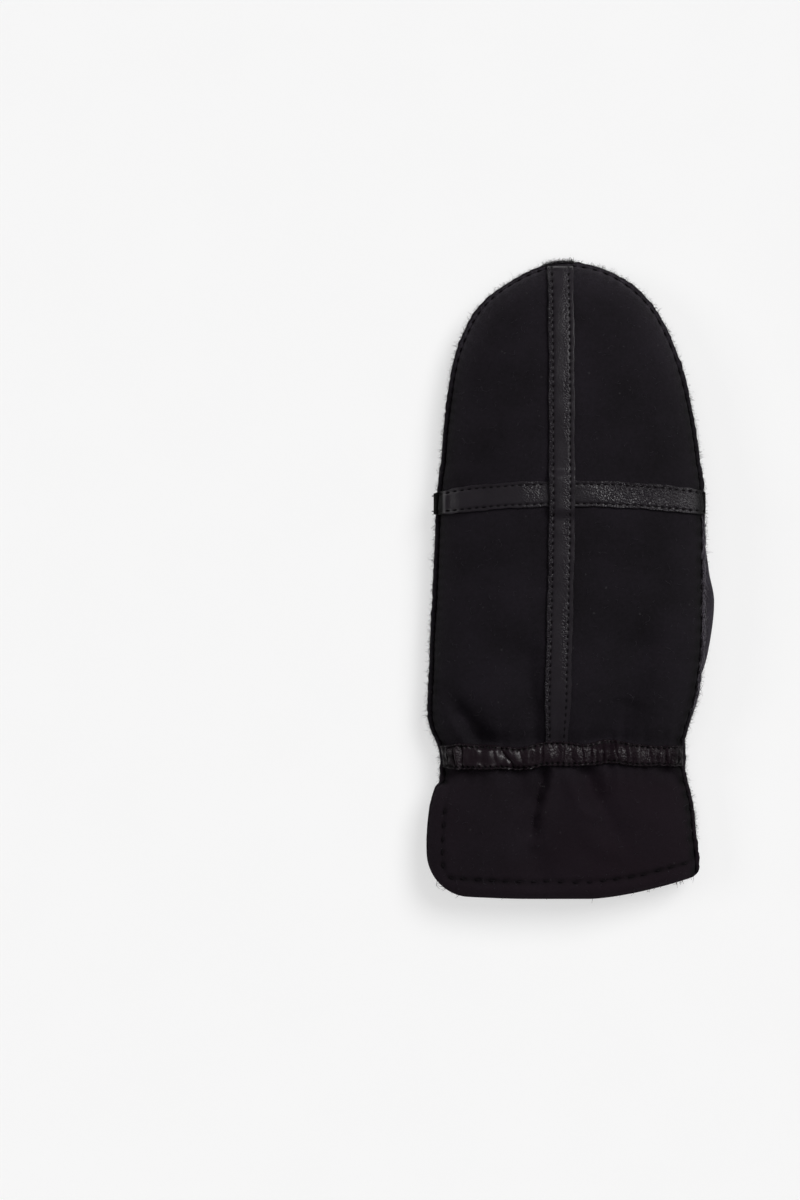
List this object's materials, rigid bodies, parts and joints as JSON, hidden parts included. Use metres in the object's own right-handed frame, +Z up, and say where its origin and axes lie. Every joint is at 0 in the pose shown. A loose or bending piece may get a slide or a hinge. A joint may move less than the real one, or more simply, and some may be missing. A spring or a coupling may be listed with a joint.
{
  "type": "leather mitten",
  "caption": "Black suede shearling mitten with crossed smooth leather straps on the back, a gathered wrist band and a flared cuff, lying palm down with the thumb folded under.",
  "frame": {"origin": "centre of the space that the mitten takes up, on the surface that it lies on", "axes": "+X towards the thumb's side, +Y from the cuff to the fingertips, +Z up through the back of the hand"},
  "size_m": [0.1222, 0.2712, 0.039],
  "materials": {
    "suede": "napped suede side of black sheepskin, matt",
    "smooth_leather": "black smooth-grained leather, soft satin"
  },
  "bodies": {
    "root": {"back_panel": "suede", "palm_panel": "suede", "thumb": "suede", "center_strap": "smooth_leather", "cross_strap": "smooth_leather", "wrist_band_back": "smooth_leather", "wrist_band_palm": "smooth_leather"}
  },
  "joints": []
}
